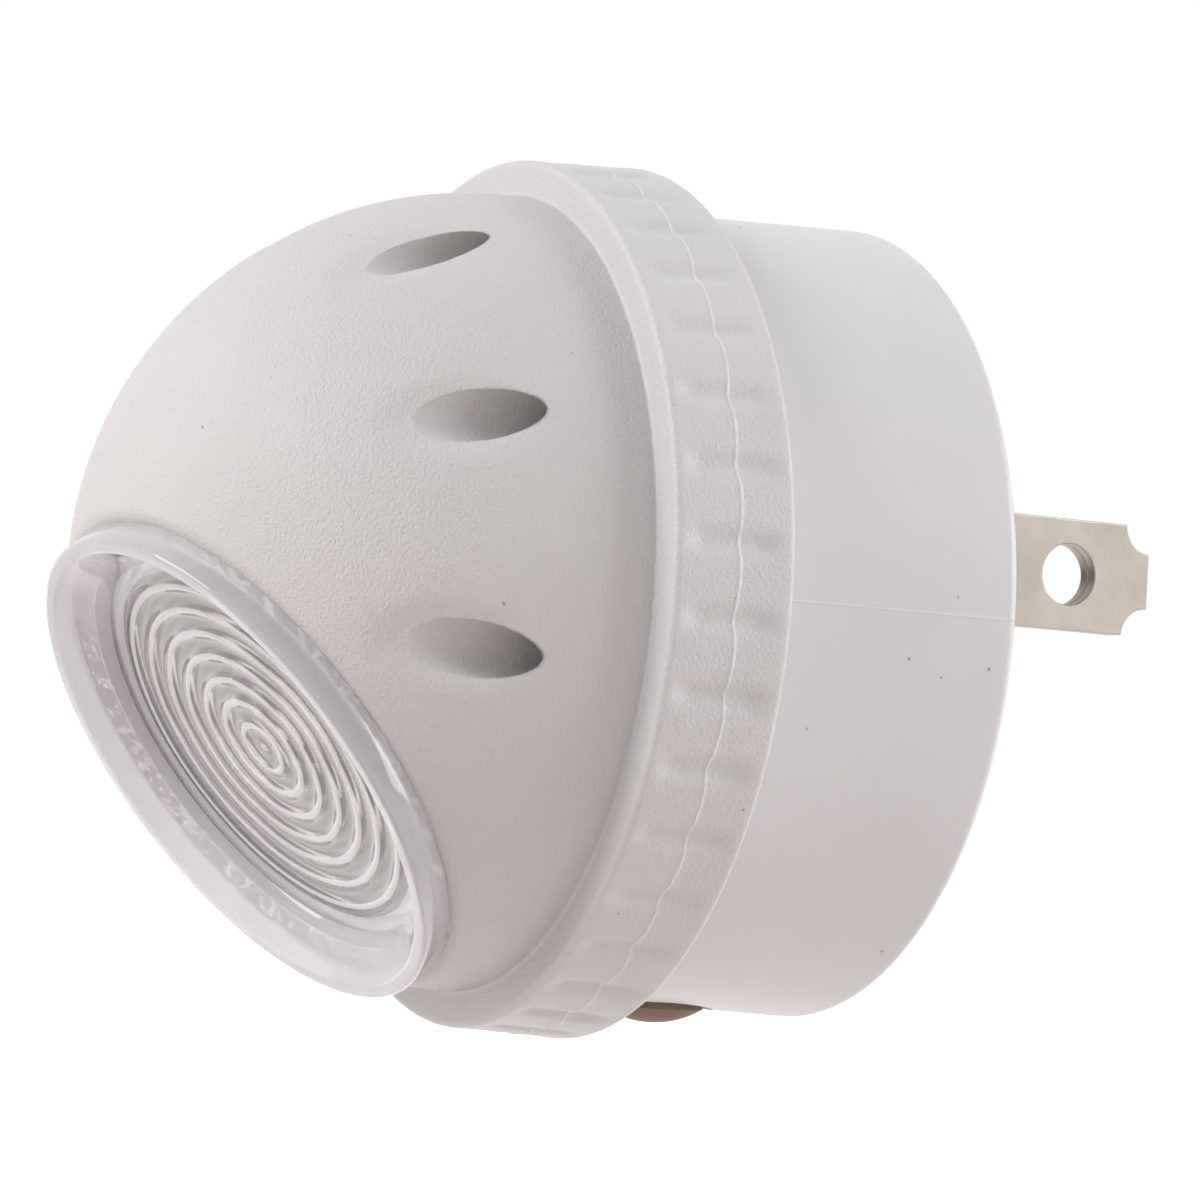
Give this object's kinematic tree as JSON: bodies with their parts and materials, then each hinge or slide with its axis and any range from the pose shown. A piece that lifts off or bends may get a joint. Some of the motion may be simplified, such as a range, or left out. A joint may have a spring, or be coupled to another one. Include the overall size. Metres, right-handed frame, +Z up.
{
  "type": "plug-in night light",
  "caption": "Plug-in night light: round base with flat plug blades and a daylight sensor, and a domed head with a tilted ridged lens that swivels on the base.",
  "frame": {"origin": "centre of the base's flat back, where it meets the wall plate of an outlet", "axes": "+Y into the wall along the plug blades, +Z up, X across the two blades"},
  "size_m": [0.0484, 0.0627, 0.0484],
  "materials": {
    "housing_plastic": "satin moulded white plastic",
    "head_plastic": "satin moulded white plastic",
    "lens_clear": "clear plastic with a faint violet tint",
    "smoky_window": "smoky brown clear plastic",
    "blade_metal": "nickel plated brass",
    "screw_steel": "zinc plated",
    "spring_steel": "bright spring steel",
    "lead_metal": "tinned",
    "insulator": "matte moulded",
    "board": "phenolic board",
    "capacitor_case": "dipped epoxy",
    "capacitor_can": "sleeved can",
    "component_black": "moulded epoxy",
    "resistor_body": "coated",
    "wire_black": "insulated wire",
    "wire_white": "insulated wire",
    "photocell_body": "glazed",
    "led_resin": "clear yellowish resin",
    "seal_rubber": "matte"
  },
  "bodies": {
    "base": {"base_housing": "housing_plastic", "wall_plate": "housing_plastic", "wall_plate_screw_right": "screw_steel", "wall_plate_screw_left": "screw_steel", "blade_right": "blade_metal", "blade_left": "blade_metal", "blade_clamp": "insulator", "clamp_screw": "screw_steel", "circuit_board": "board", "board_screw_right": "screw_steel", "board_screw_left": "screw_steel", "dropper_capacitor": "capacitor_case", "filter_capacitor": "capacitor_can", "bridge_rectifier": "component_black", "fuse_resistor": "resistor_body", "bleed_resistor": "resistor_body", "sensor_resistor": "resistor_body", "transistor": "component_black", "line_wire": "wire_black", "neutral_wire": "wire_white", "sensor_window": "smoky_window", "photocell": "photocell_body", "photocell_lead_right": "lead_metal", "photocell_lead_left": "lead_metal", "led": "led_resin", "led_holder": "insulator", "led_lead_right": "lead_metal", "led_lead_left": "lead_metal", "friction_ring": "seal_rubber"},
    "head": {"head_shell": "head_plastic", "lens": "lens_clear", "lens_clip_ring": "spring_steel", "swivel_clip": "spring_steel"}
  },
  "joints": [
    {"name": "head_swivel", "type": "hinge", "parent": "base", "child": "head", "pos_m": [0, -0.0215, 0], "axis": [0, 1, 0], "continuous": true}
  ]
}
